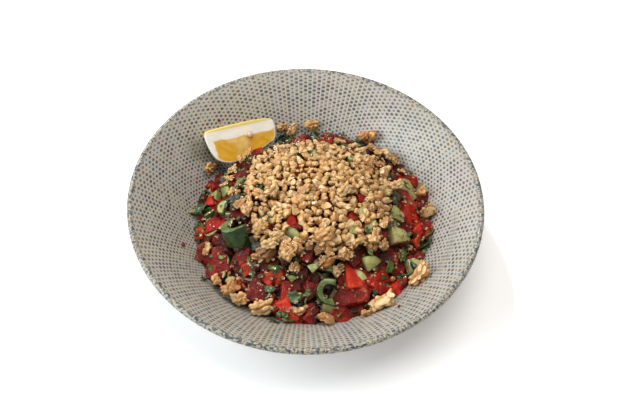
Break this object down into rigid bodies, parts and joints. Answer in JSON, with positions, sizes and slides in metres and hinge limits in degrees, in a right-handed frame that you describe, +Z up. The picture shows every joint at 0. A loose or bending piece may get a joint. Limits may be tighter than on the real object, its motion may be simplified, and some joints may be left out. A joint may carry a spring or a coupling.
{
  "type": "dish of gavurdagi salad",
  "caption": "Wide speckled stoneware bowl of chopped tomato, cucumber and pepper salad under crushed walnuts, with a lemon wedge.",
  "frame": {"origin": "centre of the foot ring's underside, on the surface the bowl stands on", "axes": "+Z up along the bowl's axis, -Y towards the front of the dish, the lemon wedge at the back left (-X, +Y)"},
  "size_m": [0.27, 0.27, 0.0562],
  "materials": {
    "stoneware": "satin glaze with rings of small dark woven-look dots in blue-grey, teal, ochre and lilac",
    "salad": "wet cut tomato, cucumber and pepper with oil, dark gaps between the pieces",
    "walnut": "crushed walnut kernels, tan with brown skin, slightly oily",
    "lemon": "juicy yellow cut flesh, white pith and yellow rind",
    "green_pepper": "glossy dark green skin with paler cut edges"
  },
  "bodies": {
    "root": {"bowl": "stoneware", "salad_heap": "salad", "walnut_topping": "walnut", "lemon_wedge": "lemon", "walnut_piece_1": "walnut", "walnut_piece_2": "walnut", "walnut_piece_3": "walnut", "walnut_piece_4": "walnut", "walnut_piece_5": "walnut", "walnut_piece_6": "walnut", "walnut_piece_7": "walnut", "walnut_piece_8": "walnut", "walnut_piece_9": "walnut", "walnut_piece_10": "walnut", "green_pepper_piece_1": "green_pepper", "green_pepper_piece_2": "green_pepper"}
  },
  "joints": []
}
